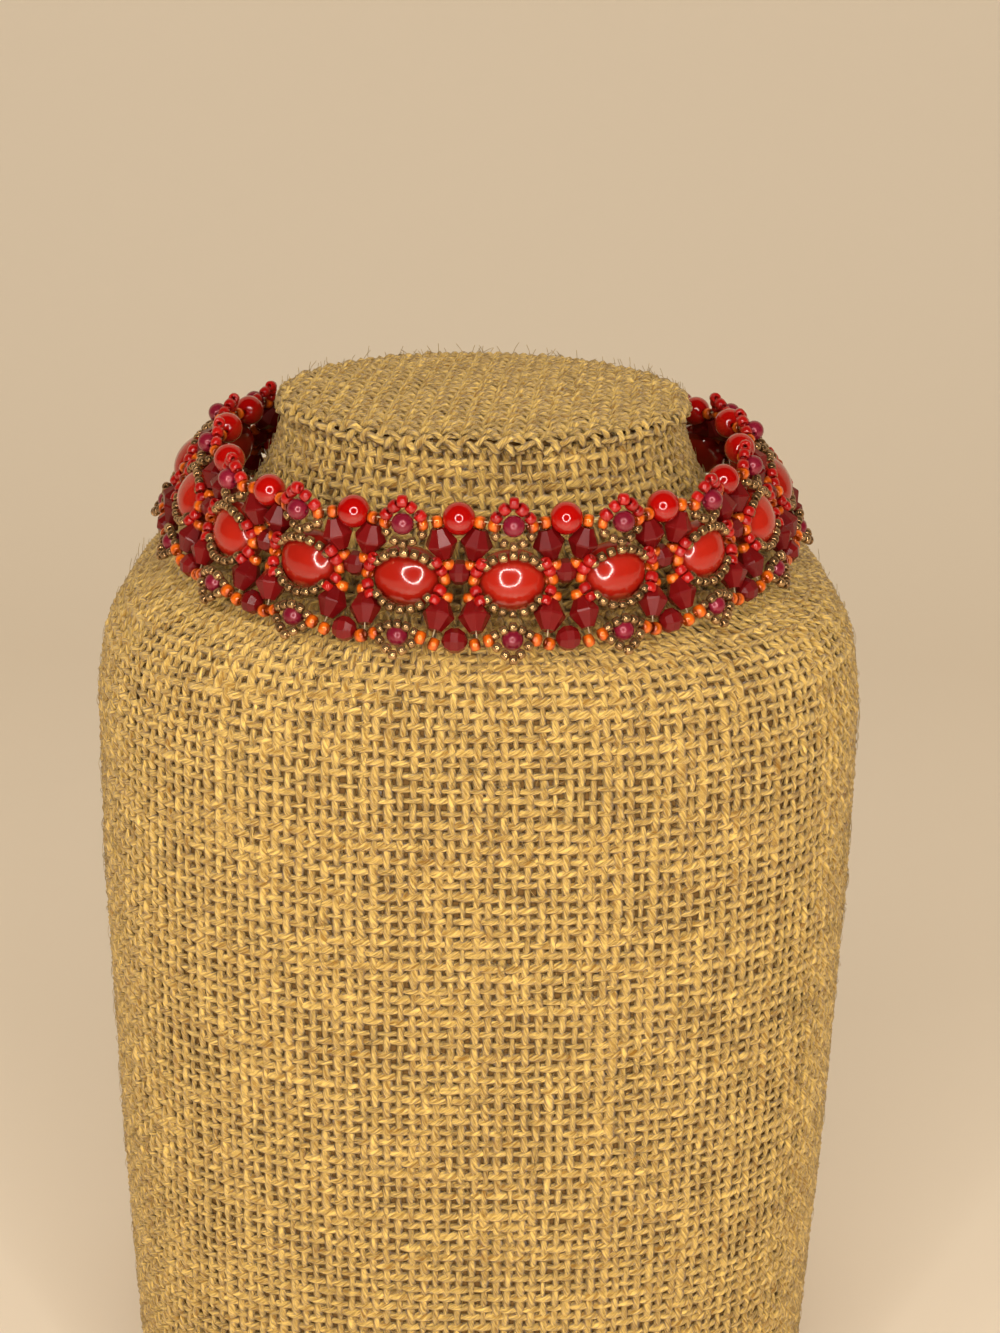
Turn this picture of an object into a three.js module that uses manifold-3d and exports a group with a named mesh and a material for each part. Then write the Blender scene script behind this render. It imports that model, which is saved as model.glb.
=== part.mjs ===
// A beaded choker on a burlap-covered neck bust. Millimetres, +Z up, the bust's front faces -Y,
// and the origin is the centre of the bust's base. The choker is a woven band of three bead rows:
// round beads along the top edge, faceted beads along the middle and the bottom edge, bicones
// between them, and an oval stone in a ring of small beads in each unit.
import * as THREE from "three";
import { mergeVertices } from "three/addons/utils/BufferGeometryUtils.js";
import Module from "manifold-3d";

// Bust
const BUST_HEIGHT = 242.5; // base to the top of the neck cap
const BUST_HALF_WIDTH = 78.5;
const BUST_HALF_DEPTH = 63; // the chest and the back reach equally far from the origin
const BASE_EDGE = 2; // rounding of the base's edge
const NECK_HALF_WIDTH = 40;
const NECK_FRONT = 36;
const NECK_BACK = 40;
const CAP_THICKNESS = 5;
const CAP_OVERHANG = 0.8;
const CAP_CROWN = 1.2;
const SEAT_GAP = 0.3; // between pieces that rest on each other
const BACK_ROOM = 5.5; // from the seat's back to the bottom row of beads, for the clasp
const BUST_SIDES = 36;
const CHEST_SQUARENESS = 2.7; // 2 is an ellipse, and more is boxier
const BASE_BACK_SQUARENESS = 6;
const SHOULDER_BACK_SQUARENESS = 4;

// The bust's sections as shares. The body's drop is measured down from the choker's seat, and its
// other shares are of the bust's sizes. The neck rises from that seat to the cap. Its width shares
// say how far a section is from the neck's towards the bust's, and front and back towards the seat's.
const BASE_SECTION = { width: 0.95, front: 0.99, back: 1, squareness: CHEST_SQUARENESS };
const BODY_SECTIONS = [
  { drop: 0.86, width: 0.965, front: 1, back: 1, squareness: CHEST_SQUARENESS },
  { drop: 0.62, width: 0.985, front: 1, back: 1, squareness: CHEST_SQUARENESS },
  { drop: 0.3, width: 1, front: 0.99, back: 1, squareness: 2.6 },
  { drop: 0.12, width: 0.995, front: 0.97, back: 1, squareness: 2.5 },
  { drop: 0.06, width: 0.97, front: 0.95, back: 0.99, squareness: 2.4 },
  { drop: 0.025, width: 0.91, front: 0.925, back: 0.96, squareness: 2.2 },
];
const NECK_SECTIONS = [
  { rise: 0, width: 0.56, front: 0.98, back: 1 },
  { rise: 0.13, width: 0.48, front: 0.66, back: 0.64 },
  { rise: 0.3, width: 0.29, front: 0.38, back: 0.36 },
  { rise: 0.52, width: 0.15, front: 0.19, back: 0.2 },
  { rise: 0.76, width: 0.06, front: 0.07, back: 0.08 },
  { rise: 1, width: 0, front: 0, back: 0 },
];

// The cap's rim, from its underside up to its crown, and the crown's rings as shares of the neck
const RIM_SECTIONS = [
  { up: 0, inset: 0.6 },
  { up: 0.2, inset: 0 },
  { up: 0.55, inset: -0.3 },
  { up: 0.8, inset: 0.6 },
];
const CROWN_SHARES = [0.94, 0.6];

// Choker: how far below the cap's top its own centre lies
const CHOKER_DROP = 26.5;
const UNITS = 18; // places round the loop; one of them is the clasp's
const FIRST_UNIT = -5;
const LAST_FRONT_UNIT = 4;
const FRONT_UNIT = 0; // the net's two halves meet at its side of lower number
const CLASP_UNIT = 9;

// Each row of beads is a closed curve of two half ellipses. halfWidth is along X, front and back
// are its reach from centreY, squareness 2 keeps the front half an ellipse and more is boxier,
// frontZ, sideZ and backZ are its height there, frontPitch is its spacing in the front stretch,
// and start is the distance of unit 0 from the middle of the front.
const ROWS = {
  top: {
    halfWidth: 50.5, front: 52, back: 50, centreY: -2, squareness: 2.5,
    frontZ: 14.6, sideZ: 19, backZ: 15, frontPitch: 19, start: 5.5,
  },
  middle: {
    halfWidth: 57.8, front: 52.9, back: 53, centreY: 0, squareness: 2.1,
    frontZ: 3, sideZ: 10.4, backZ: 4.5, frontPitch: 18.8, start: 5.6,
  },
  bottom: {
    halfWidth: 62.9, front: 59.2, back: 57, centreY: 0, squareness: 2,
    frontZ: -7.2, sideZ: 0.4, backZ: -6, frontPitch: 20.2, start: 5.6,
  },
};

const MEASURE_STEPS = 720; // of each row, to find equal distances along it

// Beads
const ROUND_RADIUS = 3;
const ROUND_SIDES = 10;
const ROUND_RINGS = 6;
const FACETED_RADIUS = 2.25;
const FACETED_SIDES = 8;
const FACETED_RINGS = 3;
const PEARL_RADIUS = 2;
const BICONE_RADIUS = 2.4;
const BICONE_LENGTH = 4.8;
const BICONE_FACETS = 5;
const BICONE_END_RADIUS = 0.8;
const STONE_HALF_WIDTH = 6.3;
const STONE_HALF_HEIGHT = 5.5;
const STONE_HALF_THICKNESS = 3.7;
const STONE_SIDES = 12;
const STONE_RINGS = 6;
const STONE_GAP = 0.6; // between a stone and the strands that hold it
const STONE_INSET = 0.4; // how far its middle lies inside the middle row's line
const STRAND_RADIUS = 0.7; // the strings of small beads are plain strands here
const STRAND_SIDES = 4;

// Where a unit's beads lie
const CORNER_DISTANCE = 4.9; // from an outer row's bead to where a bicone's strand meets that row
const UPPER_BICONE = 0.52; // how far along its strand a bicone sits, as a share
const LOWER_BICONE = 0.6;
const PEAK_OUT = 1.2; // how far a drop stands out of its row
const PEAK_UP = 3.6; // half a drop's height
const TIP_OUT = 1.4;
const TIP_DOWN = 3.4;

// Clasp
const CLASP_THICKNESS = 3;
const CLASP_BEVEL = 0.5;
const CLASP_OVERLAP = 2; // how far the clasp reaches past the outer rows

const COLOURS = {
  burlap: 0xbd954d,
  coral: 0xe0402a,
  red: 0xb01210,
  garnet: 0x7b1518,
  bronze: 0x8a6a40,
};

const wasm = await Module();
wasm.setup();

// Geometry of a closed surface lofted through rings of equal point counts, from bottom to top.
function loft(rings) {
  const sides = rings[0].length;
  const points = rings.flat();
  const faces = [];
  const centreOf = (ring) =>
    ring.reduce((sum, p) => sum.add(p), new THREE.Vector3()).divideScalar(sides);
  for (let i = 0; i + 1 < rings.length; i++) {
    for (let j = 0; j < sides; j++) {
      const a = i * sides + j;
      const b = i * sides + ((j + 1) % sides);
      faces.push(a, b, b + sides, a, b + sides, a + sides);
    }
  }
  const low = points.push(centreOf(rings[0])) - 1;
  const high = points.push(centreOf(rings[rings.length - 1])) - 1;
  const last = (rings.length - 1) * sides;
  for (let j = 0; j < sides; j++) {
    const next = (j + 1) % sides;
    faces.push(low, next, j, high, last + j, last + next);
  }
  const geometry = new THREE.BufferGeometry().setFromPoints(points);
  geometry.setIndex(faces);
  return geometry;
}

// One horizontal section of the bust.
function section({ z, halfWidth, front, back, squareness = 2, backSquareness = squareness }) {
  return Array.from({ length: BUST_SIDES }, (_, j) => {
    const angle = (2 * Math.PI * j) / BUST_SIDES;
    const cos = Math.cos(angle);
    const sin = Math.sin(angle);
    const power = 2 / (sin < 0 ? squareness : backSquareness);
    const x = halfWidth * Math.sign(cos) * Math.abs(cos) ** power;
    const reach = sin < 0 ? front : back;
    return new THREE.Vector3(x, reach * Math.sign(sin) * Math.abs(sin) ** power, z);
  });
}

// A row's point at an angle from the front.
function ringPoint(row, angle) {
  const inFront = Math.cos(angle) > 0;
  const depth = inFront ? row.front : row.back;
  const endZ = inFront ? row.frontZ : row.backZ;
  const power = inFront ? 2 / row.squareness : 1;
  const sin = Math.sign(Math.sin(angle)) * Math.abs(Math.sin(angle)) ** power;
  const cos = Math.sign(Math.cos(angle)) * Math.abs(Math.cos(angle)) ** power;
  const z = BUST_HEIGHT - CHOKER_DROP + row.sideZ + (endZ - row.sideZ) * Math.abs(cos);
  return new THREE.Vector3(row.halfWidth * sin, row.centreY - depth * cos, z);
}

// The row's angle at each step of its length, measured from the middle of the front.
function measure(row) {
  const table = [{ length: 0, angle: 0 }];
  for (let i = 1; i <= MEASURE_STEPS; i++) {
    const angle = (2 * Math.PI * i) / MEASURE_STEPS;
    const step = ringPoint(row, angle).distanceTo(ringPoint(row, table[i - 1].angle));
    table.push({ length: table[i - 1].length + step, angle });
  }
  return table;
}

const TABLES = Object.fromEntries(Object.entries(ROWS).map(([name, row]) => [name, measure(row)]));

// The row's angle at place k: evenly spaced by frontPitch in front, and evenly round the back.
function angleAt(name, k) {
  const row = ROWS[name];
  const table = TABLES[name];
  const round = table[table.length - 1].length;
  const frontEnd = LAST_FRONT_UNIT + 0.5;
  const frontUnits = LAST_FRONT_UNIT - FIRST_UNIT + 1;
  const backPitch = (round - frontUnits * row.frontPitch) / (UNITS - frontUnits);
  const fromFront = k < FIRST_UNIT - 0.5 ? k + UNITS : k;
  const pastFront = Math.max(0, fromFront - frontEnd);
  const along = row.start + Math.min(fromFront, frontEnd) * row.frontPitch + pastFront * backPitch;
  const length = ((along % round) + round) % round;
  const i = Math.max(1, table.findIndex((entry) => entry.length >= length));
  const share = (length - table[i - 1].length) / (table[i].length - table[i - 1].length);
  return table[i - 1].angle + share * (table[i].angle - table[i - 1].angle);
}

const place = (name, k) => ringPoint(ROWS[name], angleAt(name, k));

// The frame of unit k: its middle, and unit vectors along the row, up the band and outwards.
function unitFrame(k) {
  const up = place("top", k).sub(place("bottom", k)).normalize();
  const along = place("middle", k + 0.5).sub(place("middle", k - 0.5));
  const out = new THREE.Vector3().crossVectors(along, up).normalize();
  along.crossVectors(up, out).normalize();
  const origin = place("middle", k).addScaledVector(out, -STONE_INSET);
  return { origin, along, up, out };
}

function solid(geometry) {
  const bare = geometry.clone();
  bare.deleteAttribute("normal");
  bare.deleteAttribute("uv");
  const merged = mergeVertices(bare, 1e-4);
  return new wasm.Manifold(
    new wasm.Mesh({
      numProp: 3,
      vertProperties: new Float32Array(merged.attributes.position.array),
      triVerts: new Uint32Array(merged.index.array),
    }),
  );
}

function geometryOf(manifold) {
  const mesh = manifold.getMesh();
  const geometry = new THREE.BufferGeometry();
  geometry.setAttribute("position", new THREE.BufferAttribute(new Float32Array(mesh.vertProperties), 3));
  geometry.setIndex(new THREE.BufferAttribute(new Uint32Array(mesh.triVerts), 1));
  geometry.computeVertexNormals();
  return geometry;
}

function ball(centre, radius, sides, rings) {
  return new THREE.SphereGeometry(radius, sides, rings).translate(centre.x, centre.y, centre.z);
}

// Turns a shape that stands on the Y axis, from 0 up, so that it runs from one point to another.
function along(geometry, from, to) {
  const direction = to.clone().sub(from).normalize();
  const turn = new THREE.Quaternion().setFromUnitVectors(new THREE.Vector3(0, 1, 0), direction);
  return geometry.applyQuaternion(turn).translate(from.x, from.y, from.z);
}

// A straight strand between two beads. A clearance at an end keeps it off a bead of another piece.
function strand(from, to, clearFrom = 0, clearTo = 0) {
  const length = from.distanceTo(to) - clearFrom - clearTo;
  const start = from.clone().lerp(to, clearFrom / from.distanceTo(to));
  const rod = new THREE.CylinderGeometry(STRAND_RADIUS, STRAND_RADIUS, length, STRAND_SIDES);
  return along(rod.translate(0, length / 2, 0), start, to);
}

// A bicone on its strand, which tapers into what it joins at both ends.
function bicone(from, to, share, clearFrom = 0) {
  const length = from.distanceTo(to);
  const middle = length * share;
  const profile = [
    new THREE.Vector2(0, clearFrom),
    new THREE.Vector2(BICONE_END_RADIUS, middle - BICONE_LENGTH / 2),
    new THREE.Vector2(BICONE_RADIUS, middle),
    new THREE.Vector2(BICONE_END_RADIUS, middle + BICONE_LENGTH / 2),
    new THREE.Vector2(0, length),
  ];
  return along(new THREE.LatheGeometry(profile, BICONE_FACETS), from, to);
}

function stoneGeometry(frame) {
  const basis = new THREE.Matrix4().makeBasis(frame.along, frame.up, frame.out);
  return new THREE.SphereGeometry(1, STONE_SIDES, STONE_RINGS)
    .rotateX(Math.PI / 2)
    .scale(STONE_HALF_WIDTH, STONE_HALF_HEIGHT, STONE_HALF_THICKNESS)
    .applyMatrix4(basis)
    .translate(frame.origin.x, frame.origin.y, frame.origin.z);
}

// The point just off a stone's surface, on the way from its middle to the target.
function offStone(frame, target) {
  const way = target.clone().sub(frame.origin);
  const sizes = [
    [frame.along, STONE_HALF_WIDTH],
    [frame.up, STONE_HALF_HEIGHT],
    [frame.out, STONE_HALF_THICKNESS],
  ];
  const surface = 1 / Math.hypot(...sizes.map(([axis, size]) => way.dot(axis) / size));
  return frame.origin.clone().addScaledVector(way, surface + STONE_GAP / way.length());
}

// The net round the stone of unit k, between its two sides' beads, which belong to netSolid. Each
// crest and tip is one plain drop for its pearl and the small beads on it. At a side whose beads
// are in the net's other half, the strands keep clear of them.
function unitPieces(k, clearSide) {
  const frame = unitFrame(k);
  const pieces = [];
  const rows = [
    { name: "top", bead: ROUND_RADIUS, share: UPPER_BICONE, out: PEAK_OUT, reach: PEAK_UP },
    { name: "bottom", bead: FACETED_RADIUS, share: LOWER_BICONE, out: TIP_OUT, reach: TIP_DOWN },
  ];
  for (const { name, bead, share, out, reach } of rows) {
    const [from, to] = [place(name, k - 0.5), place(name, k + 0.5)];
    const clearOf = (end) => (name === "top" || clearSide === end ? bead + SEAT_GAP : 0);
    pieces.push(strand(from, to, clearOf(-1), clearOf(1)));
    const middle = from.clone().lerp(to, 0.5);
    const centre = middle.clone().addScaledVector(frame.out, out);
    const drop = new THREE.OctahedronGeometry(1).scale(PEARL_RADIUS, reach, PEARL_RADIUS);
    pieces.push(drop.translate(centre.x, centre.y, centre.z));
    pieces.push(strand(offStone(frame, middle), middle));
    for (const end of [-1, 1]) {
      const neighbour = place("middle", k + end / 2);
      const corner = (end < 0 ? from : to).clone();
      corner.lerp(middle, CORNER_DISTANCE / corner.distanceTo(middle));
      const clear = clearSide === end ? FACETED_RADIUS + 2 * SEAT_GAP : 0;
      pieces.push(bicone(neighbour, corner, share, clear));
    }
  }
  for (const end of [-1, 1]) {
    const neighbour = place("middle", k + end / 2);
    if (clearSide !== end) pieces.push(strand(neighbour, offStone(frame, neighbour)));
  }
  return pieces;
}

// The woven net of a run of units, as one body. The run that starts in front leaves the beads
// there to the other one.
function netSolid(firstUnit, lastUnit) {
  const pieces = [];
  for (let k = firstUnit; k <= lastUnit; k++) {
    const clearSide = k === FRONT_UNIT ? -1 : 0;
    pieces.push(...unitPieces(k, clearSide));
    if (!clearSide) pieces.push(...sideBeads(k - 0.5));
  }
  pieces.push(...sideBeads(lastUnit + 0.5));
  return wasm.Manifold.union(pieces.map(solid));
}

function sideBeads(k) {
  const rows = ["middle", "bottom"];
  return rows.map((row) => ball(place(row, k), FACETED_RADIUS, FACETED_SIDES, FACETED_RINGS));
}

const group = new THREE.Group();

function addMesh(name, geometry, colour, roughness, metalness = 0) {
  const material = new THREE.MeshStandardMaterial({ color: colour, roughness, metalness });
  const mesh = new THREE.Mesh(geometry, material);
  mesh.name = name;
  group.add(mesh);
  return mesh;
}

// The neck flares to a seat inside the choker's bottom row, and then to the shoulders.
function bustSections() {
  const seat = ROWS.bottom;
  const seatFront = seat.front - seat.centreY - FACETED_RADIUS - SEAT_GAP;
  const seatBack = seat.back + seat.centreY - BACK_ROOM;
  const seatZ = BUST_HEIGHT - CHOKER_DROP + seat.frontZ;
  const flare = BUST_HEIGHT - CAP_THICKNESS - SEAT_GAP - seatZ;
  const bodySection = (shares, z, backSquareness, inset = 0) => section({
    z,
    halfWidth: BUST_HALF_WIDTH * shares.width - inset,
    front: BUST_HALF_DEPTH * shares.front - inset,
    back: BUST_HALF_DEPTH * shares.back - inset,
    squareness: shares.squareness,
    backSquareness,
  });
  const rings = [
    bodySection(BASE_SECTION, 0, BASE_BACK_SQUARENESS, BASE_EDGE),
    bodySection(BASE_SECTION, BASE_EDGE, BASE_BACK_SQUARENESS),
  ];
  for (const shares of BODY_SECTIONS) {
    const rest = BASE_BACK_SQUARENESS - SHOULDER_BACK_SQUARENESS;
    const backSquareness = SHOULDER_BACK_SQUARENESS + shares.drop * rest;
    rings.push(bodySection(shares, seatZ * (1 - shares.drop), backSquareness));
  }
  for (const { rise, width, front, back } of NECK_SECTIONS) {
    rings.push(section({
      z: seatZ + flare * rise,
      halfWidth: NECK_HALF_WIDTH + (BUST_HALF_WIDTH - NECK_HALF_WIDTH) * width,
      front: NECK_FRONT + (seatFront - NECK_FRONT) * front,
      back: NECK_BACK + (seatBack - NECK_BACK) * back,
    }));
  }
  return rings;
}

function capSections() {
  const low = BUST_HEIGHT - CAP_THICKNESS;
  const rings = RIM_SECTIONS.map(({ up, inset }) => section({
    z: low + (CAP_THICKNESS - CAP_CROWN) * up,
    halfWidth: NECK_HALF_WIDTH + CAP_OVERHANG - inset,
    front: NECK_FRONT + CAP_OVERHANG - inset,
    back: NECK_BACK + CAP_OVERHANG - inset,
  }));
  for (const share of CROWN_SHARES) {
    const crown = CAP_CROWN * (1 - share ** 2);
    rings.push(section({
      z: BUST_HEIGHT - CAP_CROWN + crown,
      halfWidth: NECK_HALF_WIDTH * share,
      front: NECK_FRONT * share,
      back: NECK_BACK * share,
    }));
  }
  return rings;
}

// A plain plate that closes the loop. Its two sides keep clear of the beads beside it.
function claspGeometry() {
  const frame = unitFrame(CLASP_UNIT);
  const halfWidth = (name, bead) => {
    const room = place(name, CLASP_UNIT - 0.5).distanceTo(place(name, CLASP_UNIT + 0.5)) / 2;
    return room - bead - 2 * SEAT_GAP - CLASP_BEVEL;
  };
  const [low, high] = [halfWidth("bottom", FACETED_RADIUS), halfWidth("top", ROUND_RADIUS)];
  const [top, bottom] = [place("top", CLASP_UNIT), place("bottom", CLASP_UNIT)];
  const halfHeight = top.distanceTo(bottom) / 2 + CLASP_OVERLAP;
  const shape = new THREE.Shape([
    new THREE.Vector2(-low, -halfHeight),
    new THREE.Vector2(low, -halfHeight),
    new THREE.Vector2(high, halfHeight),
    new THREE.Vector2(-high, halfHeight),
  ]);
  const middle = top.clone().lerp(bottom, 0.5);
  const beside = place("top", CLASP_UNIT - 0.5).lerp(place("bottom", CLASP_UNIT + 0.5), 0.5);
  middle.addScaledVector(frame.out, beside.sub(middle).dot(frame.out));
  return new THREE.ExtrudeGeometry(shape, {
    depth: CLASP_THICKNESS - 2 * CLASP_BEVEL,
    bevelEnabled: true,
    bevelThickness: CLASP_BEVEL,
    bevelSize: CLASP_BEVEL,
    bevelSegments: 1,
  })
    .translate(0, 0, CLASP_BEVEL - CLASP_THICKNESS / 2)
    .applyMatrix4(new THREE.Matrix4().makeBasis(frame.along, frame.up, frame.out))
    .translate(middle.x, middle.y, middle.z);
}

addMesh("neck_bust", loft(bustSections()), COLOURS.burlap, 0.95);
addMesh("neck_cap", loft(capSections()), COLOURS.burlap, 0.95);
addMesh("clasp", claspGeometry(), COLOURS.bronze, 0.4, 0.8);
addMesh("net_left", geometryOf(netSolid(CLASP_UNIT + 1 - UNITS, FRONT_UNIT - 1)), COLOURS.garnet, 0.2);
addMesh("net_right", geometryOf(netSolid(FRONT_UNIT, CLASP_UNIT - 1)), COLOURS.garnet, 0.2);

const unitPlaces = Array.from({ length: UNITS }, (_, i) => FIRST_UNIT + i).filter((k) => k !== CLASP_UNIT);
unitPlaces.forEach((k, i) => {
  const name = `stone_${String(i + 1).padStart(2, "0")}`;
  addMesh(name, stoneGeometry(unitFrame(k)), COLOURS.coral, 0.15);
});
for (let i = 0; i < UNITS; i++) {
  const centre = place("top", FIRST_UNIT - 0.5 + i);
  const name = `round_bead_${String(i + 1).padStart(2, "0")}`;
  addMesh(name, ball(centre, ROUND_RADIUS, ROUND_SIDES, ROUND_RINGS), COLOURS.red, 0.15);
}

export default group;
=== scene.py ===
import math

import bmesh
import bpy
import numpy as np
from mathutils import Matrix, Vector


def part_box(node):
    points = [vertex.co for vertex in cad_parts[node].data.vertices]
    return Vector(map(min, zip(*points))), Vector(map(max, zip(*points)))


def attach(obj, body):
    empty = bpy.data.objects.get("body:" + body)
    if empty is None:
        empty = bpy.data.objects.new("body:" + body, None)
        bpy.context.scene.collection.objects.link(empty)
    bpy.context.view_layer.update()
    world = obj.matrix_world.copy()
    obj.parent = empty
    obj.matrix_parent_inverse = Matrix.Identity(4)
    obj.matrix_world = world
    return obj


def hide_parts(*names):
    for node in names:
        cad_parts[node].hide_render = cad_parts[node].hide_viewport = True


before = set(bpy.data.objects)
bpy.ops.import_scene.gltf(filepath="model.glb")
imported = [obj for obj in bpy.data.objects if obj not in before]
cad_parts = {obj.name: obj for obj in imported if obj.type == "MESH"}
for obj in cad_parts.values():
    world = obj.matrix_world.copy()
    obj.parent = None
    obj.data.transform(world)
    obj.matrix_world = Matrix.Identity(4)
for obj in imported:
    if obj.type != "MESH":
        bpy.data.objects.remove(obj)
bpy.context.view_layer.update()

# Lengths below are millimetres, in the CAD's own frame, and become metres where a mesh is made.
MM = 0.001
rng = np.random.default_rng(11)

# The CAD's sizes that the looks follow
bust_low, bust_high = (np.array(c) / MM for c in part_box("neck_bust"))
cap_low, cap_high = (np.array(c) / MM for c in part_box("neck_cap"))
BUST_HALF_WIDTH = bust_high[0]
BUST_FRONT = -bust_low[1]
BUST_BACK = bust_high[1]
BUST_TOP = bust_high[2]
CAP_TOP = cap_high[2]
CHOKER_DROP = 26.5  # from the cap's top to the level that the rows' heights start from
CHOKER_Z = CAP_TOP - CHOKER_DROP
NECK_HALF_WIDTH = 40
NECK_FRONT = 36
NECK_BACK = 40

# The rows of beads, as in the CAD: half ellipses in front and behind, with their heights
ROWS = {
    "top": dict(half_width=50.5, front=52, back=50, centre_y=-2, squareness=2.5,
                front_z=14.6, side_z=19, back_z=15, front_pitch=19, start=5.5),
    "middle": dict(half_width=57.8, front=52.9, back=53, centre_y=0, squareness=2.1,
                   front_z=3, side_z=10.4, back_z=4.5, front_pitch=18.8, start=5.6),
    "bottom": dict(half_width=62.9, front=59.2, back=57, centre_y=0, squareness=2,
                   front_z=-7.2, side_z=0.4, back_z=-6, front_pitch=20.2, start=5.6),
}
UNITS = 18
FIRST_UNIT = -5
LAST_FRONT_UNIT = 4
CLASP_UNIT = 9
TOP_LEVEL = 11.8  # the rows' heights in a unit, from its stone's middle
BOTTOM_LEVEL = -10.4
UNIT_PITCH = 19.2
MEASURE_STEPS = 1440  # round a row or an outline, to find equal distances along it
TANGENT_STEP = 0.08  # of a unit, to find the direction along the band

# Colours of the materials, as sRGB shares
BURLAP_DARK = (0.53, 0.37, 0.10)
BURLAP_LIGHT = (0.93, 0.78, 0.43)
CORAL_DARK = (0.54, 0.07, 0.035)
CORAL_LIGHT = (0.69, 0.145, 0.08)
BACKDROP_COLOUR = (0.94, 0.89, 0.82)
SKY_COLOUR = (0.93, 0.88, 0.80)


def linear(colour):
    """A linear colour with alpha from sRGB shares."""
    channels = [c / 12.92 if c <= 0.04045 else ((c + 0.055) / 1.055) ** 2.4 for c in colour]
    return (*channels, 1.0)


# Meshes

def full_turn(count):
    """Evenly spaced angles of one turn."""
    return np.arange(count) * 2 * np.pi / count


def rounded(values, power):
    """Values from -1 to 1 raised to a power, with their signs kept."""
    return np.sign(values) * np.abs(values) ** power


def add_tone(mesh, tone):
    """A value for each vertex that the materials read."""
    attribute = mesh.attributes.new("tone", "FLOAT", "POINT")
    attribute.data.foreach_set("value", np.asarray(tone, dtype=np.float32))


def linked(name, data):
    """An object in the scene for a mesh, a camera or a lamp."""
    obj = bpy.data.objects.new(name, data)
    bpy.context.scene.collection.objects.link(obj)
    return obj


def make_object(name, vertices, faces, smooth, tone):
    """An object from arrays of vertices in millimetres and of faces with equal corner counts."""
    vertices = np.asarray(vertices, dtype=np.float32).reshape(-1, 3) * MM
    faces = np.asarray(faces, dtype=np.int32)
    corners = faces.shape[1]
    mesh = bpy.data.meshes.new(name)
    mesh.vertices.add(len(vertices))
    mesh.vertices.foreach_set("co", vertices.ravel())
    mesh.loops.add(faces.size)
    mesh.loops.foreach_set("vertex_index", faces.ravel())
    mesh.polygons.add(len(faces))
    mesh.polygons.foreach_set("loop_start", np.arange(0, faces.size, corners, dtype=np.int32))
    mesh.polygons.foreach_set("use_smooth", np.full(len(faces), smooth))
    mesh.update(calc_edges=True)
    mesh.validate()
    add_tone(mesh, tone)
    return linked(name, mesh)


def finish_piece(obj, material, slot, *nodes):
    """Give a piece its material, hang it under the root body and hide the CAD nodes that it stands for. Its
    slot is not used.
    """
    obj.data.materials.append(material)
    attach(obj, "root")
    if nodes:
        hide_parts(*nodes)
    return obj


def lathe(profile, sides):
    """Vertices and quads of a closed profile of (radius, height) turned about Z."""
    profile = np.asarray(profile, float)
    angles = full_turn(sides)
    ring = np.stack([np.cos(angles), np.sin(angles)], axis=1)
    vertices = np.concatenate(
        [np.column_stack([ring * r, np.full(sides, z)]) for r, z in profile]
    )
    faces = []
    for i in range(len(profile)):
        j = (i + 1) % len(profile)
        for a in range(sides):
            b = (a + 1) % sides
            faces.append((i * sides + a, i * sides + b, j * sides + b, j * sides + a))
    return vertices, np.array(faces)


def seed_template(radius, length, sides=11, steps=8):
    """A small bead: a ring with a rounded wall and a hole along Z."""
    hole = 0.32 * radius
    wall = (radius - hole) / 2
    squareness = 0.75
    angles = full_turn(steps)
    profile = np.column_stack([
        hole + wall + wall * rounded(np.cos(angles), squareness),
        length / 2 * rounded(np.sin(angles), squareness),
    ])
    return lathe(profile, sides)


def sphere_template(radius, sides, rings):
    """A ball with a narrow hole along Z, as a lathe ring."""
    hole = 0.14 * radius
    reach = math.acos(hole / radius)
    angles = np.linspace(-reach, reach, rings + 1)
    profile = [(radius * math.cos(a), radius * math.sin(a)) for a in angles]
    profile += [(hole, radius * math.sin(reach) * share) for share in (0.5, -0.5)]
    return lathe(profile, sides)


def bicone_template(radius, length, facets):
    """A cut bicone with a thin girdle, small flat ends and a hole along Z."""
    half = length / 2
    hole = 0.12 * radius
    end = 0.42 * radius
    girdle = radius * 0.985
    girdle_edge = 0.06 * half
    sunk = half * 0.97
    profile = [
        (hole, -sunk), (end, -half), (girdle, -girdle_edge),
        (girdle, girdle_edge), (end, half), (hole, sunk),
    ]
    return lathe(profile, facets)


def basis_from(direction, hint):
    """Three unit columns, the last along the direction."""
    z = direction / np.linalg.norm(direction)
    x = hint - z * np.dot(hint, z)
    x /= np.linalg.norm(x)
    return np.column_stack([x, np.cross(z, x), z])


class Batch:
    """Copies of one template, joined into one mesh."""

    def __init__(self, template):
        self.vertices, self.faces = template
        self.copies = []

    def add(self, position, direction, hint, scale=(1, 1, 1)):
        """One more copy, with its Z along the direction and its X towards the hint."""
        basis = basis_from(np.asarray(direction), hint)
        self.copies.append((np.asarray(position), basis, np.asarray(scale)))

    def arrays(self, painted_highlight_share=0.0):
        """Vertices, faces and a tone that varies from copy to copy, and for a share of it peaks at each
        one's middle, a painted highlight.
        """
        count = len(self.vertices)
        vertices = [(self.vertices * s) @ basis.T + p for p, basis, s in self.copies]
        faces = [self.faces + i * count for i in range(len(self.copies))]
        # This value is a painted highlight, brightest at each bead's middle and darkest at its ends.
        height = np.abs(self.vertices[:, 2])
        middle = 1 - height / height.max()
        tone = np.repeat(rng.random(len(self.copies)), count) * (1 - painted_highlight_share)
        tone += np.tile(middle, len(self.copies)) * painted_highlight_share
        return np.concatenate(vertices), np.concatenate(faces), tone


# The choker's band

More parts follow.
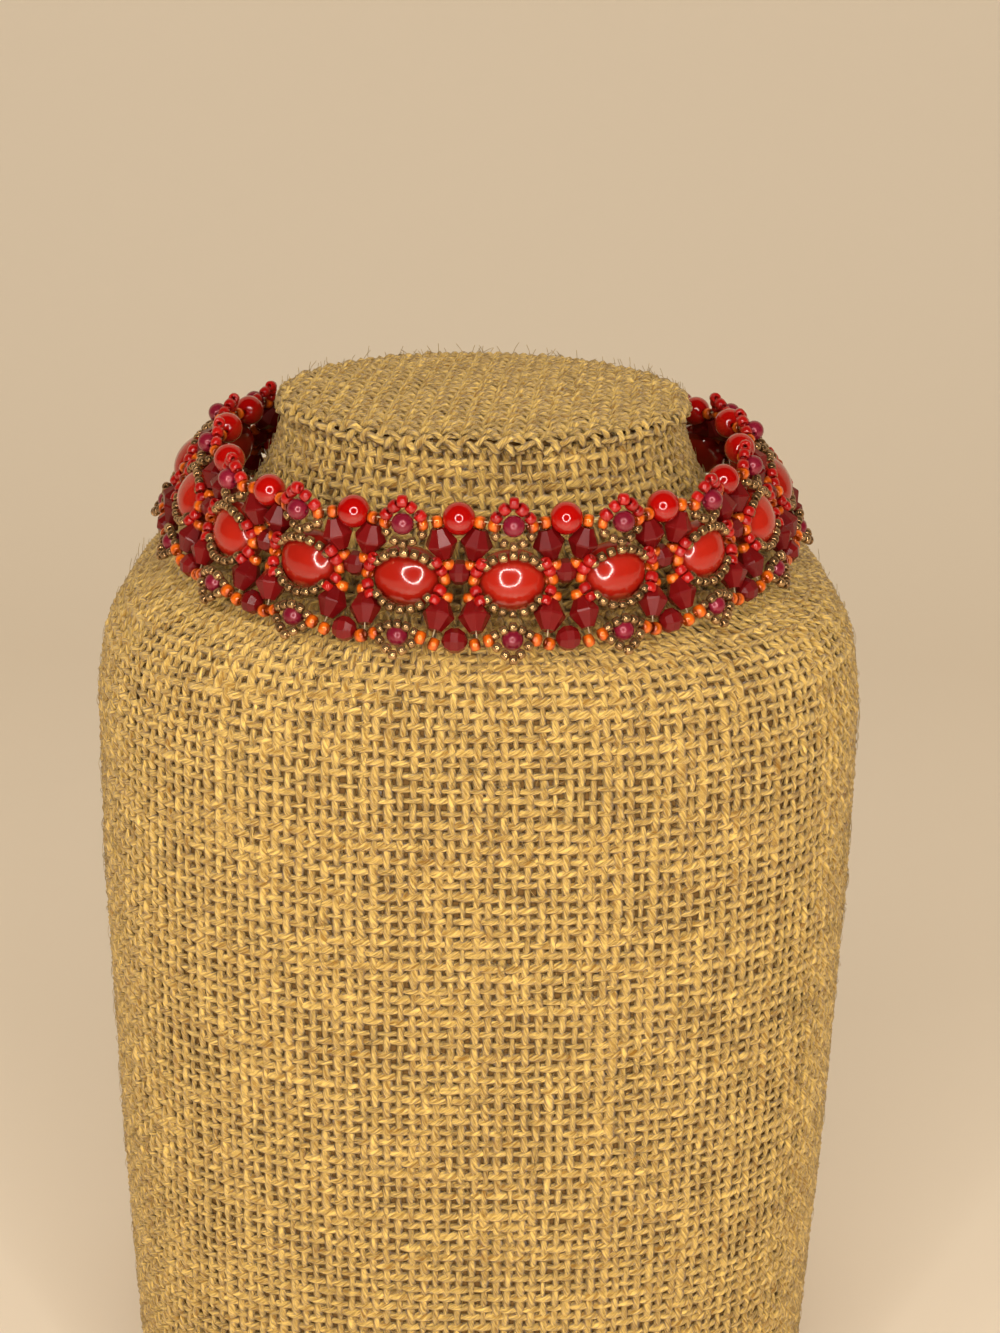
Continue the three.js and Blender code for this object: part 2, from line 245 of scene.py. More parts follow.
def ring_point(row, angle):
    """A row's point at an angle from the middle of the front."""
    sin, cos = np.sin(angle), np.cos(angle)
    in_front = cos > 0
    power = np.where(in_front, 2 / row["squareness"], 1)
    sin = rounded(sin, power)
    cos = rounded(cos, power)
    depth = np.where(in_front, row["front"], row["back"])
    end_z = np.where(in_front, row["front_z"], row["back_z"])
    z = CHOKER_Z + row["side_z"] + (end_z - row["side_z"]) * np.abs(cos)
    return np.stack([row["half_width"] * sin, row["centre_y"] - depth * cos, z], axis=-1)


def measured(row):
    """Angles and the lengths along the row at them, from the middle of the front."""
    angles = np.linspace(0, 2 * np.pi, MEASURE_STEPS + 1)
    points = ring_point(row, angles)
    steps = np.linalg.norm(np.diff(points, axis=0), axis=1)
    return angles, np.concatenate([[0], np.cumsum(steps)])


TABLES = {name: measured(row) for name, row in ROWS.items()}


def place(name, k):
    """A row's point at place k, where whole numbers are stones and halves are the beads between."""
    row = ROWS[name]
    angles, lengths = TABLES[name]
    whole = lengths[-1]
    front_units = LAST_FRONT_UNIT - FIRST_UNIT + 1
    back_pitch = (whole - front_units * row["front_pitch"]) / (UNITS - front_units)
    k = k + UNITS if k < FIRST_UNIT - 0.5 else k
    front_end = LAST_FRONT_UNIT + 0.5
    along = row["start"] + min(k, front_end) * row["front_pitch"] + max(0, k - front_end) * back_pitch
    return ring_point(row, np.interp(along % whole, lengths, angles))


def band_line(k, level):
    """A point between the rows, at a level above the stones' middle."""
    top, middle, bottom = place("top", k), place("middle", k), place("bottom", k)
    if level > 0:
        return middle + (top - middle) * level / TOP_LEVEL
    return middle + (bottom - middle) * level / BOTTOM_LEVEL


def band_frame(k, x=0.0, y=0.0, out=0.0):
    """A point of the band, x along and y up it from unit k's stone, and the directions there."""
    at = k + x / UNIT_PITCH
    point = band_line(at, y)
    along = band_line(at + TANGENT_STEP, y) - band_line(at - TANGENT_STEP, y)
    along /= np.linalg.norm(along)
    up = place("top", at) - place("bottom", at)
    outward = np.cross(along, up)
    outward /= np.linalg.norm(outward)
    up = np.cross(outward, along)
    return point + outward * out, along, up, outward


def band(k, x=0.0, y=0.0, out=0.0):
    """Only the point of band_frame."""
    return band_frame(k, x, y, out)[0]


# Beads, in millimetres

STONE_SIZE = np.array([6.15, 5.6, 4.3])  # half its width, height and thickness
STONE_SPREAD = 0.02  # how its sizes vary, as a share
STONE_TURN = 0.06  # how far a stone is turned in its ring, in radians
STONE_SINK = 0.4  # behind the band's surface
ROUND_RADIUS = 3.0
PEARL_RADIUS = 2.0
BICONE_RADIUS = 2.95
BICONE_LENGTH = 5.8
FACETED_RADIUS = 2.35
SEED_RADIUS = 0.92
SEED_LENGTH = 1.5
RED_SEED_RADIUS = 1.15
RED_SEED_LENGTH = 1.75
ORANGE_RADIUS = 1.2
ORANGE_LENGTH = 1.9
AIM_JITTER = 0.06  # how far a small bead's hole leans, its place is off and its size varies
PLACE_JITTER = 0.05
SIZE_JITTER = 0.035

bronze = Batch(seed_template(SEED_RADIUS, SEED_LENGTH))
red_seeds = Batch(seed_template(RED_SEED_RADIUS, RED_SEED_LENGTH))
orange = Batch(seed_template(ORANGE_RADIUS, ORANGE_LENGTH, 12))
bicones = Batch(bicone_template(BICONE_RADIUS, BICONE_LENGTH, 8))
faceted = Batch(sphere_template(FACETED_RADIUS, 8, 5))
pearls = Batch(sphere_template(PEARL_RADIUS, 20, 10))
threads = []  # pairs of points

# Where the beads lie in a unit: along the band, up it and out of it, from the stone's middle. What
# stands at the sides is given for the right, and the corners for the upper one.
UPPER_ARC = dict(half_width=5.8, half_height=4.9, start=146, end=34)
LOWER_ARC = dict(half_width=5.6, half_height=5.2, start=216, end=324)
CORNER_REDS = ((5.6, 3.3, 2.4), (6.5, 1.75, 2.1))
CORNER_ORANGE = ((7.6, 2.9, 1.0), (7.3, 5.0, 0.8))
SIDE_ORANGE = ((6.9, 0.1, 1.9), (9.6, 0.9, 0.8))
UPPER_STRING = ((7.2, 3.6, 0.6), (5.6, 11.0, 0.6))
UPPER_BICONE = 0.47  # how far along its string a bicone sits
LOWER_STRING = ((7.0, -3.0, 0.8), (5.9, -9.4, 1.2))
LOWER_BICONE = 0.44
UPPER_ORANGES = ((5.7, 11.1, 0.6), (3.3, 10.6, 1.6))
LOWER_ORANGES = ((6.2, -10.3, 1.3), (3.9, -9.5, 1.9))
CREST_ARCH = dict(half_width=3.1, end_level=8.6, apex_level=6.6, end_out=2.0, apex_out=2.9)
CREST_PEAK = dict(half_width=2.9, end_level=12.1, apex_level=14.9, end_out=2.0, apex_out=2.6, power=1.25)
TIP_ARCH = dict(half_width=2.9, end_level=-8.6, apex_level=-7.4, end_out=2.2, apex_out=3.1)
TIP_PEAK = dict(half_width=2.6, end_level=-10.4, apex_level=-12.5, end_out=2.4, apex_out=2.9, power=1.2)
CREST_PEARL = (0, 10.6, 3.0)
TIP_PEARL = (0, -9.4, 1.6)
ROUND_END = (9.6, 11.9, 0)  # of the string from the pearl to the round bead
PEARL_END = (0, 10.6, 2.4)
MIDDLE_FACETED = (0, 1.4, 0.6)  # between two units
LOWER_FACETED = (0, -9.7, 0.9)


def stone_height(x, y):
    """How far the stone's front stands out at a local point."""
    share = 1 - (x / STONE_SIZE[0]) ** 2 - (y / STONE_SIZE[1]) ** 2
    return STONE_SIZE[2] * math.sqrt(max(share, 0.0))


def seeds_along(batch, k, points, count=None):
    """One bead at each local point, or at the first few, with its hole along the string."""
    world = [band(k, *p) for p in points]
    outward = band_frame(k)[3]
    for i, here in enumerate(world[:count]):
        ahead = world[min(i + 1, len(world) - 1)]
        behind = world[max(i - 1, 0)]
        direction = ahead - behind + rng.normal(0, AIM_JITTER, 3)
        size = 1 + rng.normal(0, SIZE_JITTER)
        batch.add(here + rng.normal(0, PLACE_JITTER, 3), direction, outward, (size, size, size))


def arc_points(half_width, half_height, start, end, count=7, lift=SEED_RADIUS * 0.8):
    """Local points over the stone's front, evenly spaced by angle in degrees."""
    points = []
    for angle in np.radians(np.linspace(start, end, count)):
        x, y = half_width * math.cos(angle), half_height * math.sin(angle)
        points.append((x, y, stone_height(x, y) + lift))
    return points


def arch_points(half_width, end_level, apex_level, end_out, apex_out, power=1.6, count=5):
    """Local points of an arch or a V from side to side, with its apex in the middle."""
    points = []
    for share in np.linspace(-1, 1, count):
        weight = abs(share) ** power
        y = apex_level + (end_level - apex_level) * weight
        points.append((half_width * share, y, apex_out + (end_out - apex_out) * weight))
    return points


def mirrored(points, side, level=1):
    """Local points moved to one side, and to the upper or lower half."""
    return [(side * x, level * y, out) for x, y, out in points]


def add_bicone(k, string, side, share):
    """A string from the stone's ring to an outer row, with its bicone."""
    start, end = (band(k, *p) for p in mirrored(string, side))
    bicones.add(start + (end - start) * share, end - start, band_frame(k)[3])
    threads.append((start, end))


def build_side(k, side):
    """What stands at one side of a unit's stone."""
    for level in (-1, 1):
        seeds_along(red_seeds, k, mirrored(CORNER_REDS, side, level))
        seeds_along(orange, k, mirrored(CORNER_ORANGE, side, level), 1)
    seeds_along(orange, k, mirrored(SIDE_ORANGE, side), 1)
    add_bicone(k, UPPER_STRING, side, UPPER_BICONE)
    add_bicone(k, LOWER_STRING, side, LOWER_BICONE)
    seeds_along(orange, k, mirrored(UPPER_ORANGES, side))
    seeds_along(orange, k, mirrored(LOWER_ORANGES, side))


def build_unit(k):
    """The beads round one stone, with the crest over it and the tip under it."""
    seeds_along(bronze, k, arc_points(**UPPER_ARC))
    seeds_along(bronze, k, arc_points(**LOWER_ARC))
    for side in (-1, 1):
        build_side(k, side)
    seeds_along(bronze, k, arch_points(**CREST_ARCH))
    seeds_along(red_seeds, k, arch_points(**CREST_PEAK))
    seeds_along(bronze, k, arch_points(**TIP_ARCH))
    seeds_along(bronze, k, arch_points(**TIP_PEAK))
    _, along, _, outward = band_frame(k)
    for pearl_place in (CREST_PEARL, TIP_PEARL):
        pearls.add(band(k, *pearl_place), along, outward)
    for side in (-1, 1):
        round_end = mirrored([ROUND_END], side)[0]
        threads.append((band(k, *round_end), band(k, *PEARL_END)))


def build_between(k):
    """The two faceted beads between a unit and the next."""
    _, along, _, outward = band_frame(k)
    for bead_place in (MIDDLE_FACETED, LOWER_FACETED):
        faceted.add(band(k, *bead_place), along, outward)


unit_places = [k for k in range(FIRST_UNIT, FIRST_UNIT + UNITS) if k != CLASP_UNIT]
gap_places = [FIRST_UNIT - 0.5 + k for k in range(UNITS)]
for unit in unit_places:
    build_unit(unit)
for gap in gap_places:
    build_between(gap)


# Materials

def new_material(name):
    """A material with its nodes, its links and its shader."""
    material = bpy.data.materials.new(name)
    material.use_nodes = True
    nodes = material.node_tree.nodes
    return material, nodes, material.node_tree.links, nodes["Principled BSDF"]


def set_inputs(node, values):
    """Set a node's inputs by their names."""
    for name, value in values.items():
        node.inputs[name].default_value = value


def mix_colour(nodes, links, factor, low, high):
    """A colour between two, by a factor from 0 to 1."""
    mix = nodes.new("ShaderNodeMix")
    mix.data_type = "RGBA"
    set_inputs(mix, {"A": linear(low), "B": linear(high)})
    links.new(factor, mix.inputs["Factor"])
    return mix.outputs["Result"]


def noise(nodes, links, scale, detail=3.0):
    """A noise fixed to the object, with its scale in waves per metre."""
    coordinates = nodes.new("ShaderNodeTexCoord")
    texture = nodes.new("ShaderNodeTexNoise")
    set_inputs(texture, {"Scale": scale, "Detail": detail})
    links.new(coordinates.outputs["Object"], texture.inputs["Vector"])
    return texture.outputs["Fac"]


def tone_attribute(nodes):
    """The tone that add_tone stored."""
    attribute = nodes.new("ShaderNodeAttribute")
    attribute.attribute_name = "tone"
    return attribute.outputs["Fac"]


def average(nodes, links, first, second):
    """The mean of two values."""
    add = nodes.new("ShaderNodeMath")
    add.operation = "ADD"
    half = nodes.new("ShaderNodeMath")
    half.operation = "MULTIPLY"
    half.inputs[1].default_value = 0.5
    links.new(first, add.inputs[0])
    links.new(second, add.inputs[1])
    links.new(add.outputs[0], half.inputs[0])
    return half.outputs[0]


def add_bump(nodes, links, shader, height, strength, distance):
    """Relief from a height from 0 to 1, with its distance in metres."""
    bump = nodes.new("ShaderNodeBump")
    set_inputs(bump, {"Strength": strength, "Distance": distance})
    links.new(height, bump.inputs["Height"])
    links.new(bump.outputs["Normal"], shader.inputs["Normal"])


def bead_material(name, low, high, roughness, metallic=0.0, coat=0.0, bump=0.04, specular=0.5, painted_lining_highlight=False):
    """A bead's finish, whose colour follows its tone, and unless the tone holds a painted highlight of a
    silver lining also a mottle.
    """
    material, nodes, links, shader = new_material(name)
    mottle = noise(nodes, links, 700)
    tone = tone_attribute(nodes)
    factor = tone if painted_lining_highlight else average(nodes, links, tone, mottle)
    links.new(mix_colour(nodes, links, factor, low, high), shader.inputs["Base Color"])
    set_inputs(shader, {
        "Roughness": roughness, "Metallic": metallic, "Specular IOR Level": specular,
        "Coat Weight": coat, "Coat Roughness": 0.03,
    })
    add_bump(nodes, links, shader, mottle, bump, 0.0002)
    return material


def coral_material():
    """Polished coral: clouds of two reds, a slight depth and a coat."""
    material, nodes, links, shader = new_material("coral")
    clouds = noise(nodes, links, 160, 4.0)
    fine = noise(nodes, links, 900, 5.0)
    factor = average(nodes, links, clouds, tone_attribute(nodes))
    links.new(mix_colour(nodes, links, factor, CORAL_DARK, CORAL_LIGHT), shader.inputs["Base Color"])
    set_inputs(shader, {
        "Roughness": 0.16, "Coat Weight": 0.5, "Coat Roughness": 0.04,
        "Subsurface Weight": 0.12, "Subsurface Scale": 0.002,
    })
    add_bump(nodes, links, shader, average(nodes, links, clouds, fine), 0.05, 0.0003)
    return material


def fibre_noise(nodes, links):
    """Streaks that run with a thread's twist, from its own coordinates in millimetres."""
    attribute = nodes.new("ShaderNodeAttribute")
    attribute.attribute_name = "fibre"
    texture = nodes.new("ShaderNodeTexNoise")
    set_inputs(texture, {"Scale": 1.0, "Detail": 3.0, "Roughness": 0.6})
    links.new(attribute.outputs["Vector"], texture.inputs["Vector"])
    spread = nodes.new("ShaderNodeMapRange")
    set_inputs(spread, {"From Min": 0.36, "From Max": 0.62})
    links.new(texture.outputs["Fac"], spread.inputs["Value"])
    return spread.outputs["Result"]


def burlap_material(name, low, high):
    """Jute: each thread has its own tone, with streaks and a fibrous, matt surface."""
    material, nodes, links, shader = new_material(name)
    fibres = fibre_noise(nodes, links)
    factor = average(nodes, links, average(nodes, links, tone_attribute(nodes), fibres), fibres)
    links.new(mix_colour(nodes, links, factor, low, high), shader.inputs["Base Color"])
    set_inputs(shader, {
        "Roughness": 0.85, "Specular IOR Level": 0.25, "Sheen Weight": 0.25, "Sheen Roughness": 0.5,
    })
    add_bump(nodes, links, shader, fibres, 0.8, 0.0005)
    return material


coral = coral_material()
red_glass = bead_material("red_bead", (0.56, 0.02, 0.015), (0.66, 0.05, 0.03), 0.06, coat=0.6, bump=0.02)
garnet = bead_material("garnet", (0.32, 0.02, 0.03), (0.46, 0.06, 0.06), 0.24, bump=0.02, specular=0.3)
pearl = bead_material("pearl", (0.42, 0.05, 0.13), (0.56, 0.10, 0.20), 0.26, metallic=0.2, coat=0.4)
bronze_bead = bead_material("bronze", (0.42, 0.30, 0.19), (0.80, 0.64, 0.44), 0.2, metallic=0.8)
red_seed = bead_material("red_seed", (0.52, 0.03, 0.03), (0.70, 0.09, 0.07), 0.1, coat=0.3)
# Silver-lined orange seeds: dark red at the ends to bright orange at the middle, a painted highlight of the
# lining.
orange_seed = bead_material("orange_seed", (0.34, 0.02, 0.02), (1.0, 0.46, 0.08), 0.1, 0.3, 0.4, painted_lining_highlight=True)
thread_fibre = bead_material("thread", (0.80, 0.70, 0.55), (0.90, 0.82, 0.68), 0.7)
clasp_metal = bead_material("clasp_metal", (0.42, 0.30, 0.18), (0.60, 0.45, 0.28), 0.38, metallic=0.9)
jute = burlap_material("jute", BURLAP_DARK, BURLAP_LIGHT)
# The forms under the cloth are darker than its threads: painted shade in the gaps of the weave.
under_cloth_painted_shade = bead_material("under_cloth_painted_shade", (0.32, 0.22, 0.07), (0.52, 0.37, 0.15), 0.9, bump=0.5)


# Stones and round beads, each its own piece

def stone_rings(size, sides=48, rings=26, squareness=2.3):
    """Rings of points of a smooth oval between its poles, and how many sides and rings there are."""
    power = 2 / squareness
    latitude = np.linspace(-np.pi / 2, np.pi / 2, rings + 1)[1:-1]
    lat, lon = np.meshgrid(latitude, full_turn(sides), indexing="ij")
    points = np.stack([
        size[0] * np.cos(lat) * rounded(np.cos(lon), power),
        size[1] * np.cos(lat) * rounded(np.sin(lon), power),
        size[2] * np.sin(lat),
    ], axis=-1).reshape(-1, 3)
    return points, sides, len(latitude)


def closed_ball(name, points, sides, rings, low_pole, high_pole):
    """An object from rings of points, closed at both poles."""
    faces = []
    for i in range(rings - 1):
        for a in range(sides):
            b = (a + 1) % sides
            faces.append((i * sides + a, i * sides + b, (i + 1) * sides + b, (i + 1) * sides + a))
    low, high = len(points), len(points) + 1
    last = (rings - 1) * sides
    for a in range(sides):
        b = (a + 1) % sides
        faces.append((low, b, a))
        faces.append((high, last + a, last + b))
    vertices = np.vstack([points, low_pole, high_pole]) * MM
    mesh = bpy.data.meshes.new(name)
    mesh.from_pydata(vertices.tolist(), [], faces)
    mesh.polygons.foreach_set("use_smooth", np.full(len(faces), True))
    add_tone(mesh, np.full(len(vertices), rng.random()))
    return linked(name, mesh)


def build_stone(index, k):
    """The coral stone of unit k, turned a little in its ring."""
    size = STONE_SIZE * (1 + rng.normal(0, STONE_SPREAD, 3))
    points, sides, rings = stone_rings(size)
    tilt = Matrix.Rotation(rng.normal(0, STONE_TURN), 3, "Z")
    centre, along, up, outward = band_frame(k, 0, 0, -STONE_SINK)
    basis = np.column_stack([along, up, outward]) @ np.array(tilt)
    poles = np.array([[0, 0, -size[2]], [0, 0, size[2]]])
    world = points @ basis.T + centre
    low, high = poles @ basis.T + centre
    obj = closed_ball(f"coral_stone_{index:02d}", world, sides, rings, low, high)
    finish_piece(obj, coral, "coral_stone", f"stone_{index:02d}")


def build_round_bead(index, k):
    """The round bead of the top row at place k."""
    batch = Batch(sphere_template(ROUND_RADIUS, 32, 18))
    centre, along, _, outward = band_frame(k, 0, TOP_LEVEL)
    batch.add(centre, along, outward)
    vertices, faces, tone = batch.arrays()
    obj = make_object(f"red_bead_{index:02d}", vertices, faces, True, tone)
    finish_piece(obj, red_glass, "red_bead", f"round_bead_{index:02d}")


for index, unit in enumerate(unit_places):
    build_stone(index + 1, unit)
for index, gap in enumerate(gap_places):
    build_round_bead(index + 1, gap)


# The net's beads, each kind one joined piece

def joined(name, batch, material, smooth=True, nodes=(), painted_highlight_share=0.0):
    """A batch as one piece of the beadwork."""
    vertices, faces, tone = batch.arrays(painted_highlight_share)
    return finish_piece(make_object(name, vertices, faces, smooth, tone), material, "beadwork", *nodes)


joined("bronze_seeds", bronze, bronze_bead, nodes=("net_left", "net_right"))
joined("red_seeds", red_seeds, red_seed)
# The orange seeds' tone is mostly a painted highlight at each bead's middle.
joined("orange_seeds", orange, orange_seed, painted_highlight_share=0.75)
joined("garnet_bicones", bicones, garnet, smooth=False)
joined("garnet_faceted_beads", faceted, garnet, smooth=False)
joined("drop_pearls", pearls, pearl)

# Threads, of the strings and of the cloth

THREAD_UNDERSIDE = 0.45  # how deep a thread's flat side lies, as a share of its ridge's height
TWIST_ALONG = 0.4  # how the streaks go on with each millimetre, along the thread and round it
TWIST_ROUND = 1.1
CORNER_STEP = 2.4  # from one corner of a thread to the next
THREAD_STEP = 3.7  # from one thread to the next, so that no two look alike
FIBRE_SHIFT = 50  # the most that a thread's streaks are moved along it
STRING_RADIUS = 0.14


def tube_faces(count, samples, closed):
    """The walls of three-sided tubes, which meet their own start where they are closed."""
    spans = samples if closed else samples - 1
    first = np.arange(count)[:, None, None] * samples
    step = np.arange(spans)[None, :, None]
    corner = np.arange(3)[None, None, :]
    here = (first + step) * 3
    following = (first + (step + 1) % samples) * 3
    side = (corner + 1) % 3
    faces = np.stack([here + corner, here + side, following + side, following + corner], axis=-1)
    return faces.reshape(-1, 4)


def tubes(paths, normals, half_width, thickness, closed):
    """Three-sided threads along rows of points: a ridge that faces out and a flat underside."""
    paths = np.asarray(paths)
    count, samples = paths.shape[:2]
    if closed:
        ahead = np.roll(paths, -1, axis=1) - np.roll(paths, 1, axis=1)
    else:
        ahead = np.gradient(paths, axis=1)
    ahead /= np.linalg.norm(ahead, axis=2, keepdims=True)
    across = np.cross(ahead, normals)
    across /= np.linalg.norm(across, axis=2, keepdims=True)
    width = np.broadcast_to(half_width, (count, samples))[..., None]
    height = np.broadcast_to(thickness, (count, samples))[..., None]
    corners = np.stack([
        paths - across * width - normals * height * THREAD_UNDERSIDE,
        paths + normals * height,
        paths + across * width - normals * height * THREAD_UNDERSIDE,
    ], axis=2)
    return corners.reshape(-1, 3), tube_faces(count, samples, closed), count, samples


def add_fibre_coordinates(mesh, paths):
    """Each vertex's distance along its thread, its place across the twist, and its thread's number."""
    count, samples = paths.shape[:2]
    steps = np.linalg.norm(np.diff(paths, axis=1), axis=2)
    distance = np.concatenate([np.zeros((count, 1)), np.cumsum(steps, axis=1)], axis=1)
    distance = distance + rng.random((count, 1)) * FIBRE_SHIFT
    corner = np.arange(3)[None, None, :] * CORNER_STEP
    across = corner + distance[..., None] * TWIST_ROUND
    along = np.broadcast_to(distance[..., None] * TWIST_ALONG, across.shape)
    number = np.broadcast_to(np.arange(count)[:, None, None] * THREAD_STEP, across.shape)
    attribute = mesh.attributes.new("fibre", "FLOAT_VECTOR", "POINT")
    coordinates = np.stack([along, across, number], axis=-1).astype(np.float32)
    attribute.data.foreach_set("vector", coordinates.ravel())


def thread_object(name, paths, normals, half_width, thickness, closed, tone, material, slot):
    """One piece from rows of points, whose open ends are capped."""
    vertices, faces, count, samples = tubes(paths, normals, half_width, thickness, closed)
    tones = np.repeat(np.broadcast_to(tone, (count, samples)).ravel(), 3)
    obj = make_object(name, vertices, faces, True, tones)
    add_fibre_coordinates(obj.data, paths)
    if not closed:
        mesh = bmesh.new()
        mesh.from_mesh(obj.data)
        bmesh.ops.holes_fill(mesh, edges=[e for e in mesh.edges if e.is_boundary], sides=3)
        mesh.to_mesh(obj.data)
        mesh.free()
    return finish_piece(obj, material, slot)


def bead_threads():
    """The strings that show between the beads."""
    paths = np.array([np.linspace(start, end, 3) for start, end in threads])
    out = paths * [1, 1, 0]
    out /= np.linalg.norm(out, axis=2, keepdims=True)
    thread_object(
        "bead_threads", paths, out, STRING_RADIUS, STRING_RADIUS, False, 0.5, thread_fibre, "beadwork",
    )


bead_threads()

# Bust

# The body's sections, with the height as a share of the seat's and the rest as shares of the bust's
LEVELS = [
    dict(share=0.0, width=0.925, front=0.958, back=0.968, square=2.7, back_square=6.0),
    dict(share=0.14, width=0.965, front=1.0, back=1.0, square=2.7, back_square=5.7),
    dict(share=0.38, width=0.985, front=1.0, back=1.0, square=2.7, back_square=5.2),
    dict(share=0.7, width=1.0, front=0.99, back=1.0, square=2.6, back_square=4.6),
    dict(share=0.88, width=0.995, front=0.97, back=1.0, square=2.5, back_square=4.2),
    dict(share=0.94, width=0.97, front=0.95, back=0.99, square=2.4, back_square=4.1),
    dict(share=0.975, width=0.91, front=0.925, back=0.96, square=2.2, back_square=4.0),
]
# The neck's, with the rise from the seat to the top and how far each is towards the body's sizes
NECK_LEVELS = [
    dict(rise=0, width=0.56, front=0.98, back=0.5),
    dict(rise=0.13, width=0.48, front=0.66, back=0.32),
    dict(rise=0.3, width=0.29, front=0.38, back=0.18),
    dict(rise=0.52, width=0.15, front=0.19, back=0.1),
    dict(rise=0.76, width=0.06, front=0.07, back=0.04),
    dict(rise=1, width=0, front=0, back=0),
]
NECK_SQUARENESS = 2.0
SEAT_Z = CHOKER_Z + ROWS["bottom"]["front_z"]
SEAT_FRONT = 56.6
PROFILE_STEP = 0.5
SMOOTHING = 8  # steps of the profile to each side
WEAVE = 2.4  # spacing of the threads
FABRIC_CUT_Z = SEAT_Z + 3.0  # where the body's cloth meets the neck's
BACK_SEAM = 0.5  # where the threads start, as a share of the way round from the front
THREAD_LIFT = 0.3  # how far a thread rises and dips where it crosses the others
THREAD_DRIFT = 0.16  # how far it strays sideways
THREAD_HALF_WIDTH = 0.98
THREAD_HEIGHT = 0.52
BULK_ALONG = 0.16  # how a thread's bulk varies along it and from thread to thread
BULK_BETWEEN = 0.10
TONE_ALONG = 0.12
TONE_BETWEEN = 0.2
BODY_INSET = 0.8  # of the threads' middle inside the CAD's surface
NECK_INSET = 0.9
SKIN_INSET = 1.3
LOWEST_THREAD = 1.2
GIRTH_Z = 120  # where the body's upright threads are spaced
NECK_WARPS = 112
NECK_OVERLAP = 1.5  # of the neck's cloth over the body's
NECK_CLOTH_DROP = 4.0  # from the cap's top to the neck's last thread


def bust_profile():
    """Half width, front, back and the two squarenesses at fine steps of height, smoothed."""
    rows = [
        (SEAT_Z * p["share"], BUST_HALF_WIDTH * p["width"], BUST_FRONT * p["front"],
         BUST_BACK * p["back"], p["square"], p["back_square"]) for p in LEVELS
    ]
    for p in NECK_LEVELS:
        rows.append((
            SEAT_Z + (BUST_TOP - SEAT_Z) * p["rise"],
            NECK_HALF_WIDTH + (BUST_HALF_WIDTH - NECK_HALF_WIDTH) * p["width"],
            NECK_FRONT + (SEAT_FRONT - NECK_FRONT) * p["front"],
            NECK_BACK + (BUST_BACK - NECK_BACK) * p["back"],
            NECK_SQUARENESS, NECK_SQUARENESS,
        ))
    table = np.array(rows)
    heights = np.arange(0, BUST_TOP + PROFILE_STEP / 2, PROFILE_STEP)
    kernel = np.hanning(2 * SMOOTHING + 1)
    kernel /= kernel.sum()
    columns = [heights]
    for column in range(1, table.shape[1]):
        values = np.interp(heights, table[:, 0], table[:, column])
        padded = np.pad(values, SMOOTHING, mode="edge")
        columns.append(np.convolve(padded, kernel, mode="valid"))
    return np.stack(columns, axis=1)


PROFILE = bust_profile()


def outline(z, count, phase=0.0):
    """Points evenly spaced round the bust at one height, starting in front."""
    width, front, back, square, back_square = (
        np.interp(z, PROFILE[:, 0], PROFILE[:, c]) for c in range(1, 6)
    )
    angle = np.linspace(0, 2 * np.pi, MEASURE_STEPS + 1)
    sin, cos = np.sin(angle), np.cos(angle)
    power = 2 / np.where(cos > 0, square, back_square)
    x = width * rounded(sin, power)
    y = -np.where(cos > 0, front, back) * rounded(cos, power)
    length = np.concatenate([[0], np.cumsum(np.hypot(np.diff(x), np.diff(y)))])
    wanted = (np.arange(count) / count + phase) % 1.0 * length[-1]
    flat = [np.interp(wanted, length, x), np.interp(wanted, length, y)]
    return np.stack([*flat, np.full(count, z)], axis=-1)


def level_heights(start, end):
    """Heights whose spacing along the surface is about the weave's."""
    z = np.arange(start, end, 0.25)
    width, front = (np.interp(z, PROFILE[:, 0], PROFILE[:, c]) for c in (1, 2))
    steps = 0.5 * (np.hypot(np.diff(z), np.diff(width)) + np.hypot(np.diff(z), np.diff(front)))
    length = np.concatenate([[0], np.cumsum(steps)])
    count = int(round(length[-1] / WEAVE)) + 1
    return np.interp(np.linspace(0, length[-1], count), length, z)


def surface_grid(heights, count):
    """Points and outward normals of the bust's surface, a row for each height."""
    points = np.stack([outline(z, count, BACK_SEAM) for z in heights])
    around = np.roll(points, -1, axis=1) - np.roll(points, 1, axis=1)
    upward = np.gradient(points, axis=0)
    normals = np.cross(around, upward)
    normals /= np.linalg.norm(normals, axis=2, keepdims=True)
    return points, normals


def smooth_noise(shape, reach):
    """Rows of random values that change slowly along each row, with spread 1."""
    kernel = np.hanning(reach * 2 + 1)[1:-1]
    kernel /= math.sqrt((kernel ** 2).sum())
    values = rng.normal(0, 1, shape)
    values = np.pad(values, ((0, 0), (reach - 1, reach - 1)), mode="wrap")
    return np.apply_along_axis(np.convolve, 1, values, kernel, mode="valid")


def halfway(values, closed):
    """Values at the points and halfway between them, along axis 1."""
    if closed:
        following = np.roll(values, -1, axis=1)
    else:
        following = np.concatenate([values[:, 1:], values[:, -1:]], axis=1)
    doubled = np.stack([values, (values + following) / 2], axis=2)
    doubled = doubled.reshape(values.shape[0], -1, *values.shape[2:])
    return doubled if closed else doubled[:, :-1]


def over_and_under(rows, count):
    """1 where a row's thread passes over a column's, and -1 where it passes under."""
    even = (np.arange(rows)[:, None] + np.arange(count)[None, :]) % 2 == 0
    return np.where(even, 1.0, -1.0)


